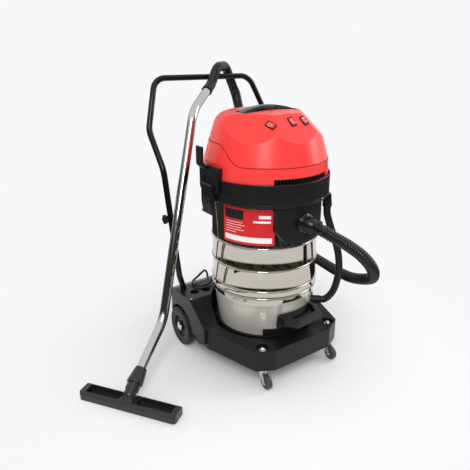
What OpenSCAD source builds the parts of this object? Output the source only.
// Wet and dry shop vacuum: a steel tank on a wheeled trolley, with a lift-off motor head,
// a push handle, a suction hose with a two-piece wand and floor nozzle, and a drain hose.
// Millimetres. +Z is up, -Y is the front, and the origin is on the floor under the tank's axis.

/* [Tank] */
// Outside diameter of the steel tank
tank_d = 430; // [400:5:450]
// Thickness of the tank's steel sheet
tank_wall = 1.5; // [1:0.5:3]
// Height of the tank's lower edge above the floor
tank_z = 165; // [160:1:170]
// Height of the tank from its lower edge to its rim
tank_h = 580; // [560:5:620]
// Diameter of the tank's bottom
tank_foot_d = 386; // [360:2:396]
// Height of the tank's drawn-in foot
tank_foot_h = 150; // [135:1:158]
// How far a rolled bead stands out of the tank
bead_out = 4; // [2:0.5:5]
// Heights of the rolled beads above the tank's lower edge
bead_heights = [172, 202, 287, 380]; // [165:1:440]

/* [Collar] */
// How far the collar stands out beyond the tank
collar_out = 37.5; // [34:0.5:42]
// Height of the collar's outer skirt
collar_h = 82; // [76:1:90]
// Thickness of the collar's moulded wall
collar_wall = 4; // [3:0.5:5]
// How far the tank's rim reaches up inside the collar
rim_lap = 27; // [22:1:32]

/* [Head] */
// Height of the head's lower, straight part above the collar
head_belt_h = 56; // [50:1:64]
// Height of the domed hood above the belt
hood_h = 180; // [170:2:195]
// Thickness of the head's moulded wall
head_wall = 3.5; // [3:0.5:5]
// Radius of the hood's shoulder
shoulder_r = 60; // [50:1:70]
// Height that the side cheeks rise above the belt
cheek_h = 66; // [50:2:80]
// Width of the carrying grip, front to back
grip_w = 34; // [28:1:40]
// Length of the hand recess under the carrying grip
grip_l = 236; // [210:2:250]

/* [Switches] */
// Length of a rocker switch
rocker_l = 30; // [26:1:34]
// Width of a rocker switch
rocker_w = 17; // [14:1:20]
// Angle that a rocker tilts each way
rocker_tilt = 9; // [6:1:12]

/* [Trolley] */
// Width of the trolley across its rear fenders
trolley_w = 590; // [570:5:620]
// Distance from the tank's axis to the trolley's front edge
trolley_front = 272; // [264:1:285]
// Distance from the tank's axis to the trolley's rear edge
trolley_rear = 325; // [315:1:345]
// Height of the trolley's front deck above the floor
deck_z = 168; // [162:1:172]
// Height of the trolley's lower edge above the floor, at the rear
skirt_z = 66; // [58:1:70]
// Height of the trolley's lower edge above the floor, from the slope to the front
front_skirt_z = 80; // [72:1:90]
// Height of the rear hump above the floor
hump_z = 250; // [240:2:265]
// Thickness of the trolley's moulded wall
trolley_wall = 5; // [4:0.5:7]
// Diameter of a tool socket in the rear hump
socket_d = 39; // [36:1:42]
// Depth of a tool socket
socket_depth = 70; // [50:2:80]

/* [Wheels] */
// Diameter of a rear wheel
wheel_d = 172; // [160:2:180]
// Width of a rear wheel
wheel_w = 32; // [26:1:36]
// Distance from the tank's axis back to the rear axle
axle_y = 210; // [204:1:216]
// Diameter of the rear axle
axle_d = 12; // [10:1:16]
// Diameter of a front castor wheel
castor_d = 58; // [50:1:60]
// Width of a front castor wheel
castor_w = 18; // [14:1:22]
// Distance from a castor's swivel to its wheel's axle
castor_trail = 30; // [26:1:34]
// Half of the distance between the two castors
castor_x = 170; // [160:1:176]
// Distance from the tank's axis forward to the castors' swivels
castor_y = 226; // [220:1:230]

/* [Push handle] */
// Diameter of the push handle's tube
handle_d = 25; // [22:1:28]
// Height of the handle's top bar above the floor
handle_z = 1126; // [1110:2:1150]
// Half of the handle's width at its knobs
handle_half = 296; // [288:1:304]
// Height of the clamping knobs above the floor
knob_z = 572; // [540:2:620]
// Diameter of a clamping knob
knob_d = 40; // [34:1:46]

/* [Wand and nozzle] */
// Outside diameter of the wand's tube
wand_d = 38; // [36:1:40]
// Thickness of the wand's tube
wand_wall = 1.5; // [1:0.5:2]
// Length of the floor nozzle
nozzle_l = 400; // [360:5:440]
// Width of the floor nozzle, front to back
nozzle_w = 68; // [62:1:78]
// Height of the floor nozzle's body
nozzle_h = 36; // [32:1:40]

/* [Hoses and cable] */
// Outside diameter of the ribbed suction hose
hose_d = 47; // [44:1:50]
// Number of ribs on the suction hose
hose_ribs = 110; // [60:2:160]
// Diameter of the drain hose
drain_d = 30; // [26:1:32]
// Diameter of the power cable
cable_d = 10; // [8:0.5:11]

/* [Hidden] */
$fn = 64;

// Clearances: seam keeps curved neighbours apart, run is a running fit on a shaft,
// play is the gap of a loose moving fit.
seam = 0.3;
run = 0.05;
play = 1.5;
eps = 0.01;

// ---- Tank and collar, worked out
tank_r = tank_d / 2;
foot_r = tank_foot_d / 2;
rim_z = tank_z + tank_h;
collar_r = tank_r + collar_out;
collar_z = rim_z - rim_lap;
collar_top = collar_z + collar_h;
seat_z = rim_z + collar_wall;
gasket_h = 3;

// ---- Head, worked out
head_r = collar_r - collar_wall - 4.5;
belt_z = seat_z + gasket_h;
belt_top = collar_top + head_belt_h;
hood_top = belt_top + hood_h;
belt_top_r = head_r - 4;
side_slope = 0.3;
crown_slope = 0.075;
shoulder_z = hood_top - 14;
corner_r = belt_top_r - side_slope * (shoulder_z - belt_top);
facet_edge = 0.508 * head_r;
facet_sum = facet_edge + hood_top - crown_slope * facet_edge;
facet_turn = 52;
vent_h = 18;
vent_half_angle = 30;
cheek_front = 0.459 * head_r;
cheek_back = 0.934 * head_r;
cheek_top_front = -0.09 * head_r;
cheek_top_back = 0.475 * head_r;

// ---- Wheels, worked out
wheel_r = wheel_d / 2;
hub_r = wheel_r * 0.66;
wheel_x = trolley_w / 2 - 8;
castor_r = castor_d / 2;
castor_z = castor_d + 22;
kingpin_r = 4;
castor_pin_r = 3;

// ---- Push handle route: left side, from the trolley up to the top bar's corner
handle_r = handle_d / 2;
tube_foot = [47 - trolley_w / 2, 236, hump_z - 48];
tube_knee = [-276, 243, 312];
handle_low = [-302, 290, 775];
handle_back = [-310, 395, 925];
handle_top = [-240, 464, handle_z];
leg_dir = unit(handle_low - tube_knee);
function on_leg(z) = tube_knee + leg_dir * (z - tube_knee[2]) / leg_dir[2];

// ---- Wand route in its own upright plane: x runs from the nozzle towards the handle
wand_r = wand_d / 2;
wand_turn = 36;
nozzle_at = [-644, -53, 0];
neck_foot = [0, 0, 16];
neck_bend = [0, 0, 52];
wand_bend_low = [272, 0, 212];
wand_joint = [452, 0, 628];
wand_bend_high = [614, 0, 1002];
wand_top = [786, 0, 1086];
neck_dir = unit(wand_bend_low - neck_bend);
nut_low = neck_bend + neck_dir * 42;
nut_high = nut_low + neck_dir * 62;
joint_lap = 45;
// The curved hand grip carries on from the wand's top over the handle's bar
grip_r = wand_r + 2;
grip_end = [186, 510, 1066];
grip_over = [[48, 434, 1168], [128, 492, 1172]];
grip_lap = 34;

// ---- Inlet
inlet_z = rim_z - 98;
inlet_w = 212;
inlet_drop = 144;
inlet_bore_r = 21;
boss_r = 37;
housing_out = 25;
pad_y = tank_r + housing_out + 2.3;
elbow_bend = [0, -(tank_r + housing_out + 22), inlet_z];
hose_start = [30, -pad_y - 46.7, inlet_z - 18];
hose_dir = unit(hose_start - elbow_bend);

// ---- Hose and cable routes: points from end to end
grip_dir = unit(grip_end - grip_over[1]);
hose_gap = 0.4;
suction_route = [
  hose_start + hose_dir * hose_gap, hose_start + hose_dir * 9, hose_start + hose_dir * 24,
  [68, -329, 602], [103, -362, 576], [154, -392, 531], [208, -399, 471],
  [262, -365, 404], [303, -290, 352], [330, -190, 312], [352, -85, 296], [374, 20, 288],
  [387, 110, 286], [382, 200, 296], [360, 290, 324], [328, 372, 388], [296, 436, 492],
  [270, 482, 640], [250, 504, 790], [236, 514, 900], [217, 519, 990],
  grip_end + grip_dir * 30, grip_end + grip_dir * 12, grip_end + grip_dir * hose_gap];
drain_turn = -38;
drain_foot = tank_z + 65;
drain_rise = collar_z - 68 - drain_foot;
// Distance out from the tank's wall and share of the rise
drain_route = [for (p = [
  [29.4, 0], [38, 0], [45, 0.0008], [63, 0.03], [83, 0.1], [95, 0.2024], [101, 0.3452], [95, 0.4905],
  [80, 0.6286], [57, 0.7762], [40.5, 0.8952], [36, 0.9476], [35, 0.9992]])
  [tank_r + p[0], 0, drain_foot + drain_rise * p[1]]];
coil_at = [80, 512];
coil_inner = 58;
coil_pitch = 12.2;
coil_layer_turns = 2.75;
coil_layers = 4;
coil_rise = 10.8;
coil_outer = coil_inner + coil_pitch * coil_layer_turns;
cable_floor = cable_d / 2 + seam;
coil_start = [coil_at[0], coil_at[1] - coil_outer, cable_floor];
loop_rings = 20;
coil_start_dir = [cos(180 / loop_rings), sin(180 / loop_rings), 0];
cable_out = head_r + 28;
gland_z = collar_top + 26;
lie_z = hump_z + cable_d / 2 + 1;
cable_route = [
  [0, cable_out, gland_z], [0, cable_out + 12, gland_z], [0, cable_out + 30, gland_z - 4.5],
  [0, cable_out + 45, gland_z - 18], [0, cable_out + 53, gland_z - 39], [0, cable_out + 55, gland_z - 96],
  [0, cable_out + 50, 640], [-4, cable_out + 40, 520], [-22, 298, 420], [-52, 272, 350], [-90, 245, 302],
  [-122, 222, 270], [-148, 204, lie_z + 1.5], [-172, 196.2, lie_z], [-196, 204, lie_z],
  [-211.5, 228, lie_z], [-209, 252, lie_z], [-193, 270, lie_z], [-158, 293, lie_z],
  [-124, 314, lie_z + 3.5], [-97, 334, lie_z - 2.5], [-75, 353, lie_z - 33], [-60, 371, 165],
  [-46, 387, 104], [-27, 398.5, 53], [-2, 406.5, 21], coil_start - coil_start_dir * 40,
  coil_start - coil_start_dir * 12, coil_start];

// ---------------------------------------------------------------- helpers
function unit(v) = v / norm(v);
function arc(c, r, a0, a1, n) =
  [for (i = [0:n]) [c[0] + r * cos(a0 + (a1 - a0) * i / n), c[1] + r * sin(a0 + (a1 - a0) * i / n)]];
function turn(a) = a > 180 ? a - 360 : a < -180 ? a + 360 : a;

// The corner at p1 of an outline, rounded to radius r with n steps
function corner(p0, p1, p2, r, n) =
  let (u = unit(p0 - p1), v = unit(p2 - p1), half = acos(u * v) / 2,
       c = p1 + unit(u + v) * r / sin(half),
       s = p1 + u * r / tan(half) - c, e = p1 + v * r / tan(half) - c,
       a0 = atan2(s[1], s[0]), a1 = a0 + turn(atan2(e[1], e[0]) - a0))
  r < eps ? [p1] : arc(c, r, a0, a1, n);

// An outline with every corner rounded: r is one radius, or a list with one for each corner
function rounded(pts, r, n = 6) =
  let (m = len(pts))
  [for (i = [0:m - 1])
    each corner(pts[(i + m - 1) % m], pts[i], pts[(i + 1) % m], is_list(r) ? r[i] : r, n)];
function box_outline(w, d) = [[-w / 2, -d / 2], [w / 2, -d / 2], [w / 2, d / 2], [-w / 2, d / 2]];

// A solid of any 2-D outline standing on the plane z = 0
module plate(pts, h) {
  linear_extrude(h) polygon(pts);
}

// A ring of square section
module ring(r_out, r_in, h) {
  difference() {
    cylinder(r = r_out, h = h);
    translate([0, 0, -1]) cylinder(r = r_in, h = h + 2);
  }
}

// Puts its children, drawn along +Z, at a and pointing to b
module towards(a, b) {
  d = b - a;
  translate(a) rotate([0, acos(d[2] / norm(d)), atan2(d[1], d[0])]) children();
}
module rod(a, b, r) {
  towards(a, b) cylinder(r = r, h = norm(b - a));
}

// Puts its children at a, with their x and z axes along the unit vectors x and z
module placed(a, x, z) {
  y = cross(z, x);
  multmatrix([
    [x[0], y[0], z[0], a[0]],
    [x[1], y[1], z[1], a[1]],
    [x[2], y[2], z[2], a[2]],
    [0, 0, 0, 1]])
    children();
}
// A round tube of straight runs joined by bends of the given radii. The runs reach a little
// into the bends, whose wall is a hair thicker.
bend_lap = 0.5;
bend_swell = 0.25;
module bent_tube(pts, radii, r, wall) {
  last = len(pts) - 1;
  function half_turn(i) = acos(unit(pts[i] - pts[i - 1]) * unit(pts[i + 1] - pts[i])) / 2;
  function trim(i) = i == 0 || i == last ? 0 : radii[i] * tan(half_turn(i));
  for (i = [0:last - 1]) {
    d = unit(pts[i + 1] - pts[i]);
    before = i == 0 ? 0 : bend_lap;
    after = i == last - 1 ? 0 : bend_lap;
    placed(pts[i] + d * (trim(i) - before), square_to([0.3, 0.5, 0.8], d), d)
      ring(r, r - wall, norm(pts[i + 1] - pts[i]) - trim(i) - trim(i + 1) + before + after);
  }
  for (i = [1:last - 1]) {
    u = unit(pts[i] - pts[i - 1]);
    v = unit(pts[i + 1] - pts[i]);
    inward = unit(v - u * (u * v));
    placed(pts[i] - u * trim(i) + inward * radii[i], -inward, cross(-inward, u))
      rotate_extrude(angle = 2 * half_turn(i)) translate([radii[i], 0]) difference() {
        circle(r = r + bend_swell);
        circle(r = r - wall - bend_swell);
      }
  }
}
// Draws its children and their mirror image on the other side
module both_sides() {
  children();
  mirror([1, 0, 0]) children();
}
function flip(p) = [-p[0], p[1], p[2]];

// ---------------------------------------------------------------- swept soft tubes
// A smooth curve through the route's points, and its points at even spacing
function spline_point(p, i, t) =
  let (n = len(p), a = p[max(i - 1, 0)], b = p[i], c = p[min(i + 1, n - 1)], d = p[min(i + 2, n - 1)])
  0.5 * (2 * b + (c - a) * t + (2 * a - 5 * b + 4 * c - d) * t * t
    + (3 * b - a - 3 * c + d) * t * t * t);
function spline(p, per) =
  concat([for (i = [0:len(p) - 2]) for (k = [0:per - 1]) spline_point(p, i, k / per)], [p[len(p) - 1]]);
function lengths(p) = [for (i = 0, s = 0; i < len(p); i = i + 1,
  s = s + (i < len(p) ? norm(p[i] - p[i - 1]) : 0)) s];
function along(p, s, at) =
  [for (a = at) [for (k = [0:2]) lookup(a, [for (i = [0:len(p) - 1]) [s[i], p[i][k]]])]];
function tangents(p) =
  let (n = len(p)) [for (i = [0:n - 1]) unit(p[min(i + 1, n - 1)] - p[max(i - 1, 0)])];
function square_to(u, t) = unit(u - t * (u * t));
function frames(t, first) =
  [for (i = 0, u = square_to(first, t[0]); i < len(t); i = i + 1,
    u = i < len(t) ? square_to(u, t[i]) : u) u];
// Rings of points round a curve; r gives each ring's radius
function rings(p, r, sides, first) =
  let (t = tangents(p), u = frames(t, first))
  [for (i = [0:len(p) - 1]) let (v = cross(t[i], u[i]))
    for (k = [0:sides - 1]) p[i] + r[i] * (u[i] * cos(360 * k / sides) + v * sin(360 * k / sides))];
// Side triangles between consecutive rings; a bore's are turned inside out
function sides_of(n, sides, start, inward) =
  [for (i = [0:n - 2]) for (k = [0:sides - 1])
    let (a = start + i * sides + k, b = start + i * sides + (k + 1) % sides,
         c = a + sides, d = b + sides)
    each inward ? [[a, c, b], [b, c, d]] : [[a, b, c], [b, d, c]]];
module soft_rod(p, r, sides, first) {
  n = len(p);
  polyhedron(
    points = rings(p, [for (q = p) r], sides, first),
    faces = concat(
      [for (f = sides_of(n, sides, 0, false)) [f[0], f[2], f[1]]],
      [for (k = [1:sides - 2]) [0, k, k + 1]],
      [for (k = [1:sides - 2]) let (s = (n - 1) * sides) [s, s + k + 1, s + k]]));
}

// ---------------------------------------------------------------- tank
// Radius of the drawn-in foot at a height, between the floor of the tank and its full width
foot_top_r = foot_r + 13;
shell_z = tank_z + tank_foot_h;
function foot_radius(z) = foot_r + (foot_top_r - foot_r) * (z - tank_z) / (tank_foot_h - 30);
function bead(z, inset) =
  arc([tank_r - inset, tank_z + z], bead_out, -90, 90, 6);
function tank_side(inset) = concat(
  [[foot_r - inset, tank_z + inset], [foot_top_r - inset, shell_z - 30], [tank_r - inset, shell_z]],
  [for (z = bead_heights) each bead(z, inset)],
  [[tank_r - inset, rim_z]]);
function reversed(p) = [for (i = [len(p) - 1:-1:0]) p[i]];

module tank() {
  color("#c9ccd0") difference() {
    rotate_extrude() polygon(concat(
      [[0, tank_z]], tank_side(0), reversed(tank_side(tank_wall)), [[0, tank_z + tank_wall]]));
    translate([0, 0, inlet_z]) rotate([90, 0, 0]) cylinder(r = inlet_bore_r + 3, h = tank_r + 10);
    rotate([0, 0, drain_turn]) translate([150, 0, drain_route[0][2]]) rotate([0, 90, 0])
      cylinder(r = drain_d / 2 - 3, h = 100);
  }
}

// The moulded ring that the tank stands on, with the plate that carries the tipping handle
ring_drop = 15;
loop_w = 186;
loop_reach = tank_r + 60;
loop_bar = 18;
loop_z = tank_z + 66;
loop_h = 30;
loop_turn = 5;
plate_rise = 30;
foot_t = 7;
module foot_plate(half_angle, rise) {
  rotate([0, 0, loop_turn - 90 - half_angle]) rotate_extrude(angle = 2 * half_angle) polygon([
    [foot_r + seam, tank_z - 1], [foot_radius(tank_z + rise) + seam, tank_z + rise],
    [foot_radius(tank_z + rise) + foot_t, tank_z + rise], [foot_r + foot_t, tank_z - 1]]);
}
module tank_foot_ring() {
  color("#1b1c1e") {
    translate([0, 0, tank_z - ring_drop]) ring(foot_r + 10, foot_r - 26, ring_drop);
    foot_plate(42, plate_rise);
    foot_plate(24, loop_z + loop_h - tank_z);
  }
}

// A squared loop that is gripped to tip or lift the tank
module tipping_handle() {
  back = 95 - tank_r;
  outer = [[-loop_w / 2, back], [-loop_w / 2, 46 - loop_reach], [30 - loop_w / 2, -loop_reach],
    [loop_w / 2 - 30, -loop_reach], [loop_w / 2, 46 - loop_reach], [loop_w / 2, back]];
  hole_w = loop_w - 2 * loop_bar;
  hole = [[-hole_w / 2, back + 20], [-hole_w / 2, 60 - loop_reach], [24 - hole_w / 2, loop_bar - loop_reach],
    [hole_w / 2 - 24, loop_bar - loop_reach], [hole_w / 2, 60 - loop_reach], [hole_w / 2, back + 20]];
  color("#1d1e20") rotate([0, 0, loop_turn]) difference() {
    union() {
      translate([0, 0, loop_z]) plate(rounded(outer, 5, 3), loop_h);
      intersection() {
        translate([-loop_w / 2, back - 100, loop_z - 24]) cube([loop_w, 100, 25]);
        translate([0, 0, tank_z]) cylinder(r = foot_r + 22, h = 120);
      }
    }
    translate([0, 0, loop_z - 1]) plate(rounded(hole, 4, 3), loop_h + 2);
    translate([0, 0, tank_z - 1]) cylinder(
      r1 = foot_radius(tank_z - 1) + foot_t + seam, r2 = foot_radius(tank_z + 100) + foot_t + seam,
      h = 101);
  }
}

// ---------------------------------------------------------------- collar
module collar() {
  color("#17181a") difference() {
    rotate_extrude() polygon([
      [205, rim_z], [tank_r + seam, rim_z], [tank_r + seam, collar_z],
      [tank_r + seam + collar_wall, collar_z], [tank_r + seam + collar_wall, rim_z],
      [collar_r - collar_wall, rim_z], [collar_r - collar_wall, collar_z + 6],
      [collar_r - collar_wall + 1, collar_z], [collar_r - 1, collar_z - 2],
      [collar_r + 1, collar_z + 1], [collar_r + 1, collar_z + 6], [collar_r, collar_z + 9],
      [collar_r, collar_top - 2], [collar_r - 1, collar_top],
      [collar_r - collar_wall, collar_top], [collar_r - collar_wall, seat_z], [205, seat_z]]);
    // Flats behind the two latches
    for (x = [-1, 1]) translate([x * (collar_r + 10), 0, collar_z])
      cube([20 + 2 * 1.2, 76, 400], center = true);
  }
}

// The moulded panel under the collar that carries the suction inlet
module inlet_housing() {
  w = inlet_w / 2;
  low = collar_z - inlet_drop;
  front = [[-w, rim_z], [-w, low + 44], [34 - w, low], [w - 34, low], [w, low + 44], [w, rim_z]];
  color("#1a1b1d") difference() {
    union() {
      intersection() {
        translate([0, 0, low]) ring(tank_r + housing_out, tank_r + bead_out + seam, rim_z - low);
        rotate([90, 0, 0]) linear_extrude(400) polygon(rounded(front, [0, 20, 26, 26, 20, 0], 5));
      }
      translate([0, -tank_r - 8, inlet_z]) rotate([90, 0, 0])
        cylinder(r = boss_r + 6, h = pad_y - tank_r - 8);
    }
    translate([0, 0, inlet_z]) rotate([90, 0, 0]) cylinder(r = inlet_bore_r + 3, h = 400);
    translate([0, 0, low - 1]) cylinder(r = tank_r + bead_out + seam, h = rim_z);
    translate([0, 0, collar_z - 6])
      ring(tank_r + 12, tank_r, rim_z);
  }
}

module inlet_elbow() {
  color("#141517") {
    bent_tube([[0, -pad_y - 0.5, inlet_z], elbow_bend, hose_start - hose_dir * 16], [0, 34, 0], 28,
      28 - inlet_bore_r);
    translate([0, -pad_y, inlet_z]) rotate([90, 0, 0]) difference() {
      union() {
        cylinder(r = boss_r, h = 8);
        translate([0, 0, 8]) cylinder(r1 = boss_r, r2 = 28.6, h = 8);
      }
      translate([0, 0, -1]) cylinder(r = inlet_bore_r + 2, h = 30);
    }
  }
}

// Ribbed cuff that clamps the hose to the elbow
module hose_cuff() {
  color("#121315") towards(hose_start - hose_dir * 16, hose_start) {
    ring(29.5, inlet_bore_r - 3, 15.9);
    for (k = [0:2]) translate([0, 0, 2 + 5 * k]) ring(31, 28, 2.5);
  }
}

// ---------------------------------------------------------------- hoses and cable
// Rings of a hose at even spacing along a route
function even_points(route, count) =
  let (p = spline(route, 8), s = lengths(p), total = s[len(s) - 1])
  along(p, s, [for (i = [0:count]) total * i / count]);

module smooth_hose(route, count, r, sides, first) {
  soft_rod(even_points(route, count), r, sides, first);
}

// A hose with a ridge for each rib outside and a smooth bore
rib_depth = 2.5;
bore_rings = 40;
module ribbed_hose(route, ribs, r, bore, first) {
  sides = 8;
  n = 2 * ribs + 1;
  m = bore_rings + 1;
  outer = even_points(route, 2 * ribs);
  inner = even_points(route, bore_rings);
  radii = [for (i = [0:n - 1]) i < 2 || i > n - 3 || i % 2 == 0 ? r - rib_depth : r];
  polyhedron(
    points = concat(
      rings(outer, radii, sides, first),
      rings(inner, [for (q = inner) bore], sides, first)),
    faces = concat(
      [for (f = sides_of(n, sides, 0, false)) [f[0], f[2], f[1]]],
      [for (f = sides_of(m, sides, n * sides, true)) [f[0], f[2], f[1]]],
      [for (k = [0:sides - 1]) let (a = k, b = (k + 1) % sides, c = n * sides)
        each [[a, b, c + a], [b, c + b, c + a]]],
      [for (k = [0:sides - 1])
        let (a = (n - 1) * sides, b = (n + m - 1) * sides, j = (k + 1) % sides)
        each [[a + k, b + k, a + j], [a + j, b + k, b + j]]]));
}

module suction_hose() {
  color("#17181a") ribbed_hose(suction_route, hose_ribs, hose_d / 2, inlet_bore_r - 3.5, [0, 0, 1]);
}
function turned(p, a) = [p[0] * cos(a) - p[1] * sin(a), p[0] * sin(a) + p[1] * cos(a), p[2]];
module drain_hose() {
  color("#191a1c") smooth_hose(
    [for (p = drain_route) turned(p, drain_turn)], 40, drain_d / 2, 8, [0, 0, 1]);
}
module power_cable() {
  color("#151617") smooth_hose(cable_route, 60, cable_d / 2, 6, [1, 0, 0]);
}

// The spare cable wound in flat layers, in and out by turns, with a tail that drops to the plug
plug_r = 18;
layer_step = coil_layer_turns + 0.5;
wound_turns = coil_layers * layer_step - 0.5;
tail_out = 0.35;
tail_drop = 0.4;
coil_turns = wound_turns + tail_out + tail_drop;
tail_clear = 13;
tail_spread = 14;
function eased(t) = let (c = min(max(t, 0), 1)) c * c * (3 - 2 * c);
function wound_radius(t) =
  let (k = min(floor(t / layer_step), coil_layers - 1),
       part = min((t - k * layer_step) / coil_layer_turns, 1) * coil_pitch * coil_layer_turns)
  k % 2 == 0 ? coil_outer - part : coil_inner + part;
function wound_rise(t) =
  let (k = min(floor(t / layer_step), coil_layers - 1))
  k * coil_rise
    + (k < coil_layers - 1 ? eased((t - k * layer_step - coil_layer_turns) / 0.5) * coil_rise : 0);
function coil_point(t) =
  let (r = wound_radius(min(t, wound_turns)) + eased((t - wound_turns) / tail_out) * tail_clear
         + eased((t - wound_turns - tail_out) / tail_drop) * tail_spread,
       drop = eased((t - wound_turns - tail_out) / tail_drop),
       a = 360 * t - 90)
  [coil_at[0] + r * cos(a), coil_at[1] + r * sin(a),
   cable_floor + wound_rise(min(t, wound_turns)) * (1 - drop) + (plug_r - cable_floor) * drop];
coil_points = [for (i = [0:round(coil_turns * loop_rings)])
  coil_point(i * coil_turns / round(coil_turns * loop_rings))];
module cable_coil() {
  color("#151617") soft_rod(coil_points, cable_d / 2, 6, [0, 0, 1]);
}
// The closest that two neighbouring turns come, less the cable itself
coil_gap = min([for (i = [0:len(coil_points) - 1]) for (j = [i + 9:len(coil_points) - 1])
  norm(coil_points[i] - coil_points[j])]) - cable_d;
echo(coil_gap = coil_gap);
cable_length = let (s = lengths(spline(cable_route, 8)), c = lengths(coil_points))
  s[len(s) - 1] + c[len(c) - 1];
hose_length = let (s = lengths(spline(suction_route, 8))) s[len(s) - 1];
echo(cable_length = cable_length, hose_length = hose_length);

plug_l = 38;
pin_l = 19;
pin_spacing = 19;
module power_plug() {
  end = coil_points[len(coil_points) - 1];
  run_in = end - coil_points[len(coil_points) - 2];
  color("#151617") towards(end, end + unit([run_in[0], run_in[1], 0])) difference() {
    union() {
      translate([0, 0, 14]) cylinder(r = plug_r, h = plug_l - 14);
      rotate_extrude() polygon([[0, 0.3], [7, 0.3], [9, 8], [plug_r, 14.1], [0, 14.1]]);
      for (x = [-1, 1]) translate([0, x * pin_spacing / 2, plug_l]) cylinder(r = 2.4, h = pin_l);
    }
    for (y = [-1, 1]) translate([y * (plug_r + 1) - 4, -4, plug_l - 12]) cube([8, 8, 20]);
  }
}

// ---------------------------------------------------------------- drain
spigot_out = 12;
drain_low = turned(drain_route[0], drain_turn);
drain_top = turned(drain_route[len(drain_route) - 1], drain_turn);
drain_out_dir = turned([1, 0, 0], drain_turn);
drain_last_dir = unit(drain_route[len(drain_route) - 1] - drain_route[len(drain_route) - 2]);
module drain_outlet() {
  z = drain_route[0][2];
  wall_r = foot_radius(z);
  color("#17181a") difference() {
    union() {
      difference() {
        rotate([0, 0, drain_turn]) translate([0, 0, z]) rotate([0, 90, 0]) {
          translate([0, 0, wall_r - 4]) cylinder(r = drain_d / 2 + 7, h = 14);
          translate([0, 0, wall_r + 6]) cylinder(r = drain_d / 2 + 2, h = drain_route[0][0] - 0.9 - wall_r - 6);
        }
        translate([0, 0, tank_z]) cylinder(
          r1 = foot_radius(tank_z) + seam, r2 = foot_radius(tank_z + 110) + seam, h = 110);
      }
      rotate([0, 0, drain_turn]) translate([wall_r - 8, 0, z]) rotate([0, 90, 0])
        cylinder(r = drain_d / 2 - 3.3, h = 24);
    }
    rotate([0, 0, drain_turn]) translate([wall_r - 10, 0, z]) rotate([0, 90, 0])
      cylinder(r = drain_d / 2 - 6, h = 100);
  }
}

// Screw-in cap that hangs the drain hose's end under the collar
cap_h = 56;
module drain_cap() {
  up = turned(drain_last_dir, drain_turn);
  color("#141517") difference() {
    towards(drain_top + up * 0.4, drain_top + up) {
      cylinder(r = drain_d / 2 + 2.5, h = cap_h - 8);
      translate([0, 0, cap_h - 8]) cylinder(r1 = drain_d / 2 + 2.5, r2 = drain_d / 2, h = 8);
      translate([0, 0, 6]) ring(drain_d / 2 + 4.5, drain_d / 2, 5);
      for (k = [0:9]) rotate([0, 0, 36 * k]) translate([drain_d / 2 + 2.5, 0, 12])
        cylinder(r = 1.2, h = 12);
    }
  }
}

// Clip under the collar that the capped end snaps into
clip_up = 27;
clip_h = 12;
module drain_clip() {
  z = drain_top[2] + clip_up;
  at = drain_route[len(drain_route) - 1][0] + drain_last_dir[0] * (clip_up + clip_h / 2);
  stem = tank_r + collar_wall + 2;
  snap_r = drain_d / 2 + 4;
  color("#17181a") rotate([0, 0, drain_turn]) difference() {
    union() {
      translate([at, 0, z]) cylinder(r = snap_r + 3.5, h = clip_h);
      translate([stem, -9, z]) cube([8, 18, rim_z - z]);
    }
    translate([at, 0, z - 1]) cylinder(r = snap_r, h = rim_z);
    translate([at + 10, -40, z - 1]) cube([40, 80, clip_h + 2]);
  }
}

// ---------------------------------------------------------------- trolley
bay_x = trolley_w / 2 - 33;
bay_r = wheel_r + 13;
bay_y = axle_y - bay_r;
front_x = 0.705 * trolley_w / 2;
plan_low = [
  [-front_x, 34 - trolley_front], [68 - front_x, -trolley_front], [front_x - 68, -trolley_front],
  [front_x, 34 - trolley_front], [trolley_w / 2 - 12, 0], [trolley_w / 2 - 12, bay_y],
  [bay_x, bay_y], [bay_x, trolley_rear], [-bay_x, trolley_rear], [-bay_x, bay_y],
  [12 - trolley_w / 2, bay_y], [12 - trolley_w / 2, 0]];
plan_low_r = [14, 14, 14, 14, 60, 8, 0, 30, 30, 0, 8, 60];
plan_hump = [[-trolley_w / 2, -20], [trolley_w / 2, -20], [trolley_w / 2, trolley_rear],
  [-trolley_w / 2, trolley_rear]];
slope_foot = 4;
slope_top = 120;
// The hump seen from the side, front to back: up the slope, level, and down behind
function hump_side(t) = [
  [slope_foot + t, 100], [slope_foot + t, deck_z - t], [slope_top + 0.6 * t, hump_z - t],
  [262 - t, hump_z - t - 3], [trolley_rear - t, hump_z - 27 - t], [trolley_rear - t, 100]];
pocket_r = tank_r + 9;
pocket_z = tank_z - 15;
groove_z = pocket_z - 10;
socket_at = [[trolley_w / 2 - 57, 181], [trolley_w / 2 - 110, 173]];
boss_r_in = 24;

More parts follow.
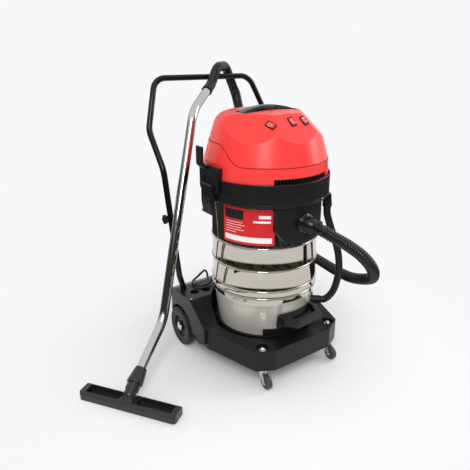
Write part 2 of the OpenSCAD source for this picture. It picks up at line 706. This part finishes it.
module across(pts, w) {
  rotate([90, 0, 90]) translate([0, 0, -w / 2]) linear_extrude(w) polygon(pts);
}
module trolley_outside(t) {
  low = [for (i = [0:len(plan_low) - 1]) let (p = plan_low[i])
    [p[0] - sign(p[0]) * t, p[1] - sign(p[1]) * (abs(p[1]) > 200 ? t : 0)]];
  translate([0, 0, skirt_z - (t > 0 ? 1 : 0)])
    plate(rounded(low, plan_low_r, 6), deck_z - skirt_z - t + (t > 0 ? 1 : 0));
  intersection() {
    across(rounded(hump_side(t), [0, 10, 16, 12, 14, 0], 5), t > 0 ? 2 * (bay_x - t) : trolley_w);
    translate([0, 0, 90]) plate(rounded(plan_hump, [0, 0, 40, 40], 6), 200);
  }
}
module trolley_posts() {
  for (x = [-1, 1]) {
    translate([x * castor_x, -castor_y, castor_z]) cylinder(r = boss_r_in, h = deck_z - castor_z - 1);
    translate([x * castor_x, -castor_y, deck_z - 18]) cylinder(r = boss_r_in + 6, h = 17);
    for (p = socket_at) translate([x * p[0], p[1], hump_z - socket_depth - 6])
      cylinder(r = socket_d / 2 + 4, h = socket_depth + 5);
    translate([x * 124 - 4, axle_y - 26, skirt_z + 2]) cube([8, 52, 90]);
  }
  both_sides() rod(tube_foot - unit(tube_knee - tube_foot) * 6, tube_foot + unit(tube_knee - tube_foot) * 40,
    handle_r + 5);
}
module trolley() {
  r_in = pocket_r + trolley_wall;
  color("#1c1d1f") difference() {
    union() {
      difference() {
        trolley_outside(0);
        difference() {
          trolley_outside(trolley_wall);
          translate([0, 0, groove_z - trolley_wall]) cylinder(r = r_in, h = 300);
        }
        // The lower edge rises from the wheels to the front
        across([[-400, 0], [66, 0], [66, skirt_z - 2], [34, front_skirt_z], [-400, front_skirt_z]],
          2 * trolley_w);
      }
      intersection() {
        trolley_posts();
        trolley_outside(0.5);
      }
      both_sides() translate([bay_x - 1, axle_y, wheel_r]) rotate([0, 90, 0])
        cylinder(r = 14, h = wheel_x - wheel_w / 2 - bay_x + 1 - 0.4);
    }
    // The tank's seat with its drip groove
    translate([0, 0, pocket_z]) cylinder(r = pocket_r, h = 300);
    translate([0, 0, groove_z]) ring(pocket_r, tank_r - 10, 20);
    // Wheel bays, axle, castor bolts, tool sockets, handle tubes
    both_sides() {
      translate([bay_x, axle_y, wheel_r]) rotate([0, 90, 0]) difference() {
        cylinder(r = bay_r, h = 60);
        translate([0, 0, -1]) cylinder(r = 14, h = wheel_x - wheel_w / 2 - bay_x + 1 - 0.4);
      }
      translate([bay_x, axle_y - bay_r, -1]) cube([60, 2 * bay_r, wheel_r - 14 + 1]);
      translate([castor_x, -castor_y, deck_z - 12]) cylinder(r = boss_r_in + 1.5, h = 40);
      for (p = socket_at) translate([p[0], p[1], hump_z - socket_depth])
        cylinder(r = socket_d / 2, h = socket_depth + 20);
      rod(tube_foot, tube_foot + (tube_knee - tube_foot) * 1.2, handle_r + run);
      trolley_channel();
    }
    translate([-400, axle_y, wheel_r]) rotate([0, 90, 0]) cylinder(r = axle_d / 2 + run, h = 800);
    for (x = [-1, 1]) translate([x * castor_x, -castor_y, castor_z - 1])
      cylinder(r = kingpin_r + run, h = deck_z);
  }
}
// Drip channel down the slope, with two ribs standing in it
channel_w = 24;
channel_deep = 6;
slope_angle = atan2(hump_z - deck_z, slope_top - slope_foot);
slope_len = norm([hump_z - deck_z, slope_top - slope_foot]);
module trolley_channel() {
  translate([trolley_w / 2 - 14 - channel_w, slope_foot, deck_z]) rotate([slope_angle, 0, 0])
    difference() {
      translate([0, 0.08 * slope_len, -channel_deep]) cube([channel_w, 0.84 * slope_len, 40]);
      for (x = [7, 14]) translate([x, 0, -channel_deep - 1]) cube([2.5, slope_len, channel_deep]);
    }
}

// Domed bolts in the deck's recesses, which hold the castors
module dome(r, h) {
  intersection() {
    cylinder(r = r, h = h);
    translate([0, 0, h - (r * r + h * h) / (2 * h)]) sphere(r = (r * r + h * h) / (2 * h));
  }
}
module deck_bolts() {
  color("#b9bcc0") for (x = [-1, 1]) translate([x * castor_x, -castor_y, deck_z - 12]) {
    ring(13, kingpin_r + seam, 2);
    translate([0, 0, 2]) cylinder(r = 9, h = 6, $fn = 6);
    translate([0, 0, 8]) dome(7.5, 4);
  }
}

// ---------------------------------------------------------------- rear wheels
module rear_axle() {
  half = wheel_x + wheel_w / 2 + 0.5;
  color("#a7aaae") translate([-half, axle_y, wheel_r]) rotate([0, 90, 0])
    cylinder(r = axle_d / 2, h = 2 * half);
}
module axle_caps() {
  color("#c9ccd0") both_sides()
    translate([wheel_x + wheel_w / 2 + 0.5, axle_y, wheel_r]) rotate([0, 90, 0]) dome(19, 6);
}
module wheel(x) {
  w = wheel_w / 2;
  color("#202225") translate([x, axle_y, wheel_r]) rotate([0, 90, 0]) difference() {
    rotate_extrude() polygon([
      [axle_d / 2 + run, -w], [22, -w], [22, -4], [hub_r - 9, -4], [hub_r - 6, 2 - w], [hub_r, 2 - w],
      [hub_r, w - 2], [hub_r - 6, w - 2], [hub_r - 9, 4], [22, 4], [22, w], [axle_d / 2 + run, w]]);
    for (k = [0:4]) rotate([0, 0, 72 * k]) translate([33, 0, -30]) cylinder(r = 6, h = 60);
  }
}
module tyre(x) {
  w = wheel_w / 2;
  color("#2a2b2d") translate([x, axle_y, wheel_r]) rotate([0, 90, 0]) rotate_extrude() polygon(concat(
    [[hub_r + seam, 2 - w], [hub_r + 9, -w]],
    arc([wheel_r - 8, 8 - w], 8, -90, 0, 5), arc([wheel_r - 8, w - 8], 8, 0, 90, 5),
    [[hub_r + 9, w], [hub_r + seam, w - 2]]));
}
module wheel_left() {
  wheel(-wheel_x);
}
module tyre_left() {
  tyre(-wheel_x);
}
module wheel_right() {
  wheel(wheel_x);
}
module tyre_right() {
  tyre(wheel_x);
}

// ---------------------------------------------------------------- castors
plate_t = 3;
disc_z = castor_z - plate_t - 10;
castor_pin_at = castor_r;
module castor_mounts() {
  color("#b4b7bb") for (x = [-1, 1]) translate([x * castor_x, -castor_y, 0]) {
    translate([0, 0, castor_z - plate_t]) cylinder(r = 22, h = plate_t);
    translate([0, 0, disc_z - 3]) cylinder(r = kingpin_r, h = deck_z - 9 - disc_z);
    translate([0, 0, disc_z - 5]) dome_down(7, 4.7);
  }
}
module dome_down(r, h) {
  translate([0, 0, h]) mirror([0, 0, 1]) dome(r, h);
}
module castor_fork(x) {
  leg = [[13, disc_z + 3], [-12, disc_z + 3], [-castor_trail - 9, castor_pin_at - 2],
    [-castor_trail - 4, castor_pin_at - 9], [-castor_trail + 6, castor_pin_at - 8], [4, disc_z - 12]];
  color("#b4b7bb") translate([x, -castor_y, 0]) difference() {
    union() {
      translate([0, 0, disc_z]) cylinder(r = 20, h = 9.6);
      for (s = [-1, 1]) translate([s * 11.75 - 1.25, 0, 0]) rotate([90, 0, 90]) linear_extrude(2.5)
        polygon(rounded(leg, [0, 4, 7, 5, 6, 8], 4));
    }
    translate([0, 0, disc_z - 1]) cylinder(r = kingpin_r + run, h = 20);
    translate([0, 0, disc_z - 30]) cylinder(r = 8.5, h = 30);
    translate([-30, -castor_trail, castor_pin_at]) rotate([0, 90, 0])
      cylinder(r = castor_pin_r + run, h = 60);
  }
}
module castor_pin(x) {
  color("#8f9296") translate([x, -castor_y - castor_trail, castor_pin_at]) rotate([0, 90, 0]) {
    translate([0, 0, -15]) cylinder(r = castor_pin_r, h = 30);
    for (s = [-1, 1]) translate([0, 0, s * 14.8 - 1.5]) cylinder(r = 5.5, h = 3);
  }
}
module castor_wheel(x) {
  w = castor_w / 2;
  color("#77797d") translate([x, -castor_y - castor_trail, castor_pin_at]) rotate([0, 90, 0])
    rotate_extrude() polygon(concat(
      [[castor_pin_r + run, -w], [9, -w], [10, 2 - w], [17, 2 - w], [18, -w]],
      arc([castor_r - 4, 4 - w], 4, -90, 0, 4), arc([castor_r - 4, w - 4], 4, 0, 90, 4),
      [[18, w], [17, w - 2], [10, w - 2], [9, w], [castor_pin_r + run, w]]));
}
module castor_fork_left() {
  castor_fork(-castor_x);
}
module castor_fork_right() {
  castor_fork(castor_x);
}
module castor_pin_left() {
  castor_pin(-castor_x);
}
module castor_pin_right() {
  castor_pin(castor_x);
}
module castor_wheel_left() {
  castor_wheel(-castor_x);
}
module castor_wheel_right() {
  castor_wheel(castor_x);
}

// ---------------------------------------------------------------- push handle
sleeve_low = on_leg(knob_z - 27);
inner_top = on_leg(knob_z + 28);
tube_wall = 1.5;
stud_r = 4;
module stud_hole(r) {
  translate([-trolley_w / 2 - 60, on_leg(knob_z)[1], knob_z]) rotate([0, 90, 0]) cylinder(r = r, h = 100);
}
module handle_tubes() {
  color("#1e1f21") both_sides() difference() {
    union() {
      bent_tube([tube_foot, tube_knee, sleeve_low], [0, 110, 0], handle_r, tube_wall);
      towards(sleeve_low - leg_dir * 5, inner_top) ring(
        handle_r - tube_wall - run, handle_r - 2 * tube_wall, norm(inner_top - sleeve_low) + 5);
      towards(sleeve_low - leg_dir * 10, sleeve_low) ring(
        handle_r - tube_wall / 2, handle_r - 2 * tube_wall - 0.3, 9.8);
    }
    stud_hole(stud_r + run);
  }
}
module push_handle() {
  left = [sleeve_low, handle_low, handle_back, handle_top];
  route = concat(left, [for (i = [3:-1:0]) flip(left[i])]);
  color("#1a1b1d") difference() {
    bent_tube(route, [0, 120, 110, 65, 65, 110, 120, 0], handle_r, tube_wall);
    both_sides() stud_hole(stud_r + run);
  }
}
knob_h = 20;
module knob() {
  x0 = on_leg(knob_z)[0] - handle_r - 0.6;
  color("#141517") translate([x0, on_leg(knob_z)[1], knob_z]) rotate([0, -90, 0]) difference() {
    union() {
      translate([0, 0, -9]) cylinder(r = stud_r, h = 12);
      cylinder(r = 10, h = 6);
      translate([0, 0, 5]) cylinder(r = knob_d / 2 - 5, h = knob_h - 5);
      for (k = [0:4]) rotate([0, 0, 72 * k + 36]) translate([knob_d / 2 - 6, 0, 5])
        cylinder(r = 6, h = knob_h - 6.5);
    }
    translate([0, 0, knob_h - 2]) cylinder(r = 9, h = 5);
  }
}
module knob_left() {
  knob();
}
module knob_right() {
  mirror([1, 0, 0]) knob();
}

// ---------------------------------------------------------------- wand and nozzle
module in_wand_plane() {
  translate(nozzle_at) rotate([0, 0, wand_turn]) children();
}
joint_dir = unit(wand_joint - wand_bend_low);
joint_end = wand_joint + joint_dir * joint_lap;
wand_foot = nut_low + neck_dir * 6;
sleeve_step = wand_r - wand_wall - seam;
module wand_ring(from_end, h) {
  towards(joint_end - joint_dir * from_end, joint_end) ring(wand_r + 1.2, wand_r - wand_wall / 2, h);
}
module wand_lower() {
  color("#d3d5d8") in_wand_plane() {
    bent_tube([wand_foot, wand_bend_low, joint_end], [0, 130, 0], wand_r, wand_wall);
    wand_ring(60, 6);
    wand_ring(6.3, 6);
  }
}
module wand_upper() {
  color("#d3d5d8") in_wand_plane() {
    bent_tube([joint_end + joint_dir * 0.5, wand_bend_high, wand_top], [0, 130, 0], wand_r, wand_wall);
    towards(wand_joint, joint_end) ring(
      sleeve_step, sleeve_step - wand_wall, norm(joint_end - wand_joint) + 3);
    towards(joint_end + joint_dir, joint_end + joint_dir * 2) ring(
      wand_r - wand_wall / 2, sleeve_step - wand_wall - 0.2, 4);
  }
}
function from_wand_plane(p) = nozzle_at + turned(p, wand_turn);
grip_low = from_wand_plane(wand_top - unit(wand_top - wand_bend_high) * grip_lap);
grip_mid = from_wand_plane(wand_top);
module wand_grip() {
  top_dir = unit(grip_mid - grip_low);
  route = concat([grip_mid, grip_mid + top_dir * 22], grip_over, [grip_end]);
  color("#202123") {
    bent_tube(route, [0, 40, 46, 46, 0], grip_r, grip_r - sleeve_step + wand_wall);
    towards(grip_low, grip_mid) difference() {
      union() {
        cylinder(r = grip_r + 0.8, h = grip_lap + 3);
        cylinder(r = grip_r + 2.4, h = 8);
      }
      translate([0, 0, -1]) cylinder(r = wand_r + seam, h = grip_lap + 8);
    }
  }
}
module nozzle_nut() {
  color("#17181a") in_wand_plane() difference() {
    union() {
      towards(nut_low, nut_high) {
        cylinder(r = 30, h = 14);
        translate([0, 0, 14]) cylinder(r1 = 30, r2 = 24, h = 40);
        translate([0, 0, 54]) cylinder(r1 = 24, r2 = 22, h = 8);
        for (k = [0:11]) rotate([0, 0, 30 * k]) translate([26.5, 0, 3]) rotate([0, -8, 0])
          cylinder(r = 5, h = 42);
      }
    }
    rod(nut_low - neck_dir, nut_high + neck_dir, wand_r + seam);
    rod(nut_low - neck_dir, nut_low + neck_dir * 12, wand_r + 4.5);
  }
}
trough_in = 34;
trough_end = 22;
module nozzle_body() {
  half = nozzle_l / 2;
  side = nozzle_w / 2;
  side_view = [[-side, 4], [side, 4], [side, nozzle_h - 9], [side - 11, nozzle_h],
    [11 - side, nozzle_h], [-side, nozzle_h - 9]];
  trough = [[trough_in, 13 - side], [half - trough_end, 13 - side],
    [half - trough_end, side - 13], [trough_in, side - 13]];
  neck_end = nut_low + neck_dir * 11.7;
  color("#191a1c") translate(nozzle_at) rotate([0, 0, wand_turn - 90]) difference() {
    union() {
      difference() {
        intersection() {
          across(side_view, nozzle_l);
          plate(rounded(box_outline(nozzle_l, nozzle_w), 12, 5), 100);
        }
        both_sides() translate([0, 0, 14]) plate(rounded(trough, [14, 5, 5, 14], 5), 100);
      }
      translate([0, 0, 4]) cylinder(r1 = 32, r2 = wand_r + 5, h = neck_bend[2] - 6);
      rotate([0, 0, 90]) {
        translate(neck_bend) sphere(r = wand_r + 4.2);
        rod(neck_bend, neck_end, wand_r + 3.9);
        rod(nut_low - neck_dir * 24, nut_low - neck_dir * 3, wand_r + 7);
      }
    }
    rotate([0, 0, 90]) {
      translate([0, 0, -1]) cylinder(r = wand_r - wand_wall, h = neck_bend[2] + 1);
      translate(neck_bend) sphere(r = wand_r - wand_wall + 0.2);
      rod(neck_bend, neck_end + neck_dir, wand_r - wand_wall);
      rod(wand_foot, wand_foot + neck_dir * 40, wand_r + seam);
    }
    translate([16 - half, -9, 0]) cube([nozzle_l - 32, 18, 10]);
    for (s = [-1, 1]) translate([10 - half, s * 22 - 3.2, 0]) cube([nozzle_l - 20, 6.4, 10]);
  }
}
module nozzle_strips() {
  half = nozzle_l / 2;
  color("#0f1011") translate(nozzle_at) rotate([0, 0, wand_turn - 90])
    for (s = [-1, 1]) translate([-half + 11, s * 22 - 2.2, 0]) cube([2 * half - 22, 4.4, 10]);
}

// ---------------------------------------------------------------- head
function head_side(t) = rounded([
  [0, belt_z - (t > 0 ? 1 : 0)], [head_r - t, belt_z - (t > 0 ? 1 : 0)], [head_r - t, collar_top],
  [belt_top_r - t, belt_top], [corner_r - t, shoulder_z - t], [0, hood_top - t]],
  [0, 0, 12, 40, shoulder_r - t, 0], 6);
// The whole head as a solid, t inside its outer surface: a dome with three flats in front
module head_solid(t) {
  edge = facet_sum - t * sqrt(2);
  difference() {
    rotate_extrude($fn = 96) polygon(head_side(t));
    for (k = [-1:1]) rotate([0, 0, -90 + k * facet_turn])
      translate([facet_edge + 30, 0, edge - facet_edge - 30]) rotate([0, 45, 0])
        translate([-1.1 * head_r, -1.1 * head_r, 0]) cube([2.2 * head_r, 2.2 * head_r, head_r]);
  }
}
// Where the hood parts from the base: level in front, raised over the two side cheeks
module below_seam() {
  far = head_r + 60;
  across([[-far, 0], [-far, belt_top], [-cheek_front, belt_top],
    [cheek_top_front, belt_top + cheek_h], [cheek_top_back, belt_top + cheek_h],
    [cheek_back, belt_top], [far, belt_top], [far, 0]], 3 * head_r);
}
module head_shell() {
  difference() {
    head_solid(0);
    head_solid(head_wall);
  }
}
latch_x = collar_r + 0.9;
bracket_t = 9;
bracket_w = 124;
module head_base() {
  color("#d8302c") difference() {
    intersection() {
      head_shell();
      below_seam();
    }
    rotate([0, 0, -90 - vent_half_angle]) rotate_extrude(angle = 2 * vent_half_angle)
      translate([head_r - 12, collar_top - 3]) square([30, vent_h + 3]);
    translate([0, head_r - 20, cable_route[0][2]]) rotate([-90, 0, 0]) cylinder(r = 9.3, h = 60);
    for (x = [-1, 1]) for (y = [-44, 44]) translate([x * (head_r - 19), y, collar_top + 24])
      rotate([0, 90, 0]) cylinder(r = 3.2, h = 60, center = true);
  }
}
// A place on one of the hood's flats: r out from the axis, s sideways
module on_facet(turn_by, r, s) {
  rotate([0, 0, -90 + turn_by]) translate([r, s, facet_sum - r]) rotate([0, 45, 0]) rotate([0, 0, 90])
    children();
}
// Turn of the sloping face, place out and along it, turn of the switch in it
switch_places = [[-facet_turn, 156.7, 57.7, -29], [0, 150, 0, -85], [0, 150, 57, -80]];
module at_switches() {
  for (p = switch_places) on_facet(p[0], p[1], p[2]) rotate([0, 0, p[3]]) children();
}
bezel_w = rocker_l + 10;
bezel_d = rocker_w + 8;
tub_w = grip_l + 16;
tub_front = -40;
tub_back = 34;
tub_floor = hood_top - 40;
module tub_block(t, low) {
  translate([0, 0, low]) plate(rounded([[-tub_w / 2 + t, tub_front + t], [tub_w / 2 - t, tub_front + t],
    [tub_w / 2 - t, tub_back - t], [-tub_w / 2 + t, tub_back - t]], 12 - t, 5), 120);
}
module head_hood() {
  color("#e8362f") difference() {
    head_shell();
    below_seam();
    at_switches() translate([-rocker_l / 2 - 3, -rocker_w / 2 - 2.5, -20])
      cube([rocker_l + 6, rocker_w + 5, 40]);
    tub_block(-seam, tub_floor - 20);
  }
}
// The inner radius of the head's wall at a height in the belt
function inside_belt(z) =
  head_r - head_wall - (head_r - belt_top_r) * max(z - collar_top, 0) / head_belt_h;
module vent_grille() {
  z0 = collar_top - 6;
  z1 = collar_top + vent_h + 8;
  color("#141517") difference() {
    rotate([0, 0, -92 - vent_half_angle]) rotate_extrude(angle = 2 * vent_half_angle + 4) polygon([
      [inside_belt(z0) - 6, z0], [inside_belt(z0) - seam, z0], [inside_belt(z0) - seam, collar_top],
      [inside_belt(z1) - seam, z1], [inside_belt(z1) - 6, z1]]);
    for (a = [-vent_half_angle + 1.5:3:vent_half_angle - 1]) rotate([0, 0, a - 90])
      translate([head_r - 14, -3.6, collar_top - 1]) cube([20, 7.2, vent_h - 1]);
  }
}
arch_r = 360;
arch_t = 14;
grip_top = hood_top + 12;
// The hand recess in the crown, with the arched grip across it
module carry_handle() {
  half = tub_w / 2 - 0.5;
  color("#202124") {
    difference() {
      intersection() {
        tub_block(0, tub_floor - 6);
        head_solid(-1.2);
      }
      tub_block(4, tub_floor);
    }
    difference() {
      intersection() {
        translate([0, 0, grip_top - arch_r]) rotate([90, 0, 0])
          translate([0, 0, -grip_w / 2]) linear_extrude(grip_w) difference() {
            circle(r = arch_r, $fn = 128);
            circle(r = arch_r - arch_t, $fn = 128);
          }
        translate([-half, -grip_w, tub_floor + 14]) cube([2 * half, 2 * grip_w, 80]);
      }
      // Soft edges along the grip's underside
      for (s = [-1, 1]) translate([0, s * grip_w / 2, grip_top - arch_r]) rotate([90, 0, 0])
        rotate_extrude($fn = 128) translate([arch_r - arch_t, 0]) rotate(45) square(5, center = true);
    }
    translate([0, 0, grip_top - arch_t + 1]) linear_extrude(arch_t - 3)
      polygon([[-24, -grip_w / 2 + 1], [0, -grip_w / 2 - 20], [24, -grip_w / 2 + 1]]);
  }
}
bezel_proud = 3;
rocker_r = 24;
module switch_bezels() {
  color("#111213") at_switches() difference() {
    union() {
      plate(rounded([[-bezel_w / 2, -bezel_d / 2], [bezel_w / 2, -bezel_d / 2],
        [bezel_w / 2, bezel_d / 2], [-bezel_w / 2, bezel_d / 2]], 4, 4), bezel_proud);
      translate([-rocker_l / 2 - 2.7, -rocker_w / 2 - 2.2, -16])
        cube([rocker_l + 5.4, rocker_w + 4.4, 17]);
    }
    translate([-rocker_l / 2 - 0.8, -rocker_w / 2 - 0.5, -12]) cube([rocker_l + 1.6, rocker_w + 1, 40]);
    rotate([90, 0, 0]) translate([0, -4, 0]) cylinder(r = 1.5 + run, h = rocker_w + 3, center = true);
  }
}
// A see-saw rocker on its pivot pin, drawn tilted as it rests
module rocker_at(i) {
  p = switch_places[i];
  color("#d8302c") on_facet(p[0], p[1], p[2]) rotate([0, 0, p[3]]) translate([0, 0, -4])
    rotate([0, -rocker_tilt, 0]) {
    rotate([90, 0, 0]) cylinder(r = 1.5, h = rocker_w + 2.6, center = true);
    half = rocker_l / 2;
    difference() {
      translate([0, rocker_w / 2, 0]) rotate([90, 0, 0]) linear_extrude(rocker_w) polygon([
        [1 - half, -3], [half - 1, -3], [half, 2], [half - 2, 10], [2 - half, 10], [-half, 2]]);
      translate([0, 0, rocker_r + 7.5]) rotate([90, 0, 0]) cylinder(r = rocker_r, h = 40, center = true);
    }
  }
}
module rocker_left() {
  rocker_at(0);
}
module rocker_middle() {
  rocker_at(1);
}
module rocker_right() {
  rocker_at(2);
}

// Plates on the head's sides that carry the latches
latch_pivot_z = collar_top - 25;
latch_w = 70;
module latch_brackets() {
  z0 = collar_top - 48;
  h = 96;
  outline = [[-bracket_w / 2, 0], [bracket_w / 2, 0], [bracket_w / 2, h], [-bracket_w / 2, h]];
  color("#1b1c1e") both_sides() difference() {
    union() {
      translate([latch_x, 0, z0]) rotate([90, 0, 90]) plate(rounded(outline, 10, 5), bracket_t);
      translate([head_r - 10, -bracket_w / 2 + 6, collar_top + 1.5])
        cube([latch_x - head_r + 11, bracket_w - 12, h - 48 - 8]);
      for (y = [-1, 1]) translate([latch_x + bracket_t - 1, y * (latch_w / 2 + 4) - 3, latch_pivot_z - 9])
        cube([9, 6, 18]);
    }
    // It fits the head's side
    rotate_extrude() polygon([[0, 0], [head_r + seam, 0], [head_r + seam, collar_top],
      [belt_top_r + seam, belt_top], [0, belt_top]]);
    translate([latch_x + 5, -latch_w / 2 - 0.8, z0 - 1]) cube([20, latch_w + 1.6, 58]);
    translate([latch_x - 50, 0, latch_pivot_z]) rotate([90, 0, 0]) translate([58 + 4.5, 0, 0])
      cylinder(r = 2.5 + run, h = 200, center = true);
  }
}
// A latch turns on its own pin and snaps over the collar's edge
latch_low = collar_z - 50;
module latch() {
  x0 = latch_x + 5.6;
  side = concat(arc([latch_x + 12.5, latch_pivot_z], 6.9, 0, 180, 12),
    rounded([[x0, latch_low + 8], [x0 + 3, latch_low], [x0 + 11, latch_low - 2],
      [x0 + 13.8, latch_low + 3], [x0 + 9, latch_low + 9], [x0 + 13.8, latch_low + 40]],
      [0, 3, 2, 3, 4, 0], 4));
  color("#26272a") difference() {
    union() {
      rotate([90, 0, 0]) translate([0, 0, -latch_w / 2]) linear_extrude(latch_w)
        polygon(side);
      translate([latch_x + 12.5, 0, latch_pivot_z]) rotate([90, 0, 0])
        cylinder(r = 2.5, h = latch_w + 13, center = true);
    }
    for (y = [-24:8:24]) translate([x0 + 10, y - 1.5, latch_pivot_z - 42]) cube([6, 3, 36]);
  }
}
module latch_left() {
  mirror([1, 0, 0]) latch();
}
module latch_right() {
  latch();
}

// J-shaped straps that the wound cable hangs on
module cable_hooks() {
  w = 36;
  t = 11;
  foot_z = collar_top + 36;
  x0 = latch_x + bracket_t;
  x1 = x0 + 27.6;
  side = [[x0, foot_z], [x1 - 14, foot_z], [x1, foot_z + 14], [x1, foot_z + 81],
    [x1 - t, foot_z + 81], [x1 - t, foot_z + t + 9], [x1 - 18, foot_z + t + 1], [x0, foot_z + t + 1]];
  color("#17181a") both_sides() translate([0, w, 0]) rotate([90, 0, 0]) linear_extrude(w)
    polygon(rounded(side, [0, 6, 10, 3.5, 3.5, 8, 3, 0], 5));
}
module cable_gland() {
  at = cable_route[0];
  flange = head_r + 1;
  color("#111213") translate([0, 0, at[2]]) rotate([-90, 0, 0]) {
    translate([0, 0, flange - 17]) cylinder(r = 13, h = 8);
    translate([0, 0, flange - 16]) cylinder(r = 9, h = 20);
    translate([0, 0, flange]) cylinder(r = 13, h = 5);
    translate([0, 0, flange + 5]) cylinder(r1 = 10, r2 = 7, h = at[1] - flange - 5);
  }
}

// ---------------------------------------------------------------- inside the head
module head_gasket() {
  color("#0e0f10") translate([0, 0, seat_z]) ring(head_r, 208, gasket_h);
}
plate_h = 10;
motor_at = 108;
motor_turn = [90, -30, -150];
module motor_plate() {
  color("#2b2c2f") difference() {
    union() {
      translate([0, 0, belt_z]) cylinder(r = head_r - head_wall - seam, h = plate_h);
      translate([0, 0, belt_z + plate_h - 1])
        ring(head_r - head_wall - seam, head_r - head_wall - 8, 20);
    }
    for (a = motor_turn) rotate([0, 0, a]) translate([motor_at, 0, belt_z - 1])
      cylinder(r = 24, h = plate_h + 2);
  }
}
module motors() {
  color("#8d9094") for (a = motor_turn) rotate([0, 0, a])
    translate([motor_at, 0, belt_z + plate_h]) {
      difference() {
        cylinder(r = 72, h = 44);
        translate([0, 0, -1]) cylinder(r = 22, h = 20);
      }
      translate([0, 0, 43]) cylinder(r = 46, h = 60);
      translate([0, 0, 102]) cylinder(r = 22, h = 16);
      for (k = [0:3]) rotate([0, 0, 90 * k + 45]) translate([40, -5, 43]) cube([20, 10, 46]);
    }
}
cage_r = 80;
cage_h = 150;
cage_top = belt_z;
module filter_cage() {
  z0 = cage_top - cage_h;
  color("#303236") difference() {
    union() {
      translate([0, 0, cage_top - 6]) cylinder(r = 196, h = 6);
      translate([0, 0, z0]) cylinder(r = cage_r, h = cage_h - 3);
    }
    translate([0, 0, z0 + 4]) cylinder(r = cage_r - 4, h = cage_h);
    for (a = [0:30:150]) rotate([0, 0, a]) translate([-cage_r - 5, -8, z0 + 40])
      cube([2 * cage_r + 10, 16, 84]);
  }
}
filter_r = 118;
module filter() {
  z1 = cage_top - 6;
  color("#e8e4da") difference() {
    translate([0, 0, z1 - 128]) cylinder(r = filter_r, h = 128);
    translate([0, 0, z1 - 130]) cylinder(r = cage_r + seam, h = 140);
    for (k = [0:23]) rotate([0, 0, 15 * k]) translate([filter_r + 1, 0, z1 - 118])
      cylinder(r = 5, h = 106, $fn = 16);
  }
}
ball_r = 30;
module float_ball() {
  color("#d9a13a") translate([0, 0, cage_top - cage_h + 4 + ball_r + seam]) sphere(r = ball_r, $fn = 40);
}

trolley();
deck_bolts();
tank();
tank_foot_ring();
tipping_handle();
collar();
inlet_housing();
inlet_elbow();
hose_cuff();
suction_hose();
wand_grip();
wand_upper();
wand_lower();
nozzle_body();
nozzle_strips();
nozzle_nut();
drain_outlet();
drain_hose();
drain_cap();
drain_clip();
handle_tubes();
push_handle();
knob_left();
knob_right();
rear_axle();
axle_caps();
wheel_left();
tyre_left();
wheel_right();
tyre_right();
castor_mounts();
castor_fork_left();
castor_fork_right();
castor_pin_left();
castor_pin_right();
castor_wheel_left();
castor_wheel_right();
head_base();
head_hood();
vent_grille();
carry_handle();
switch_bezels();
rocker_left();
rocker_middle();
rocker_right();
cable_hooks();
latch_brackets();
latch_left();
latch_right();
head_gasket();
motor_plate();
motors();
filter_cage();
filter();
float_ball();
cable_gland();
power_cable();
cable_coil();
power_plug();
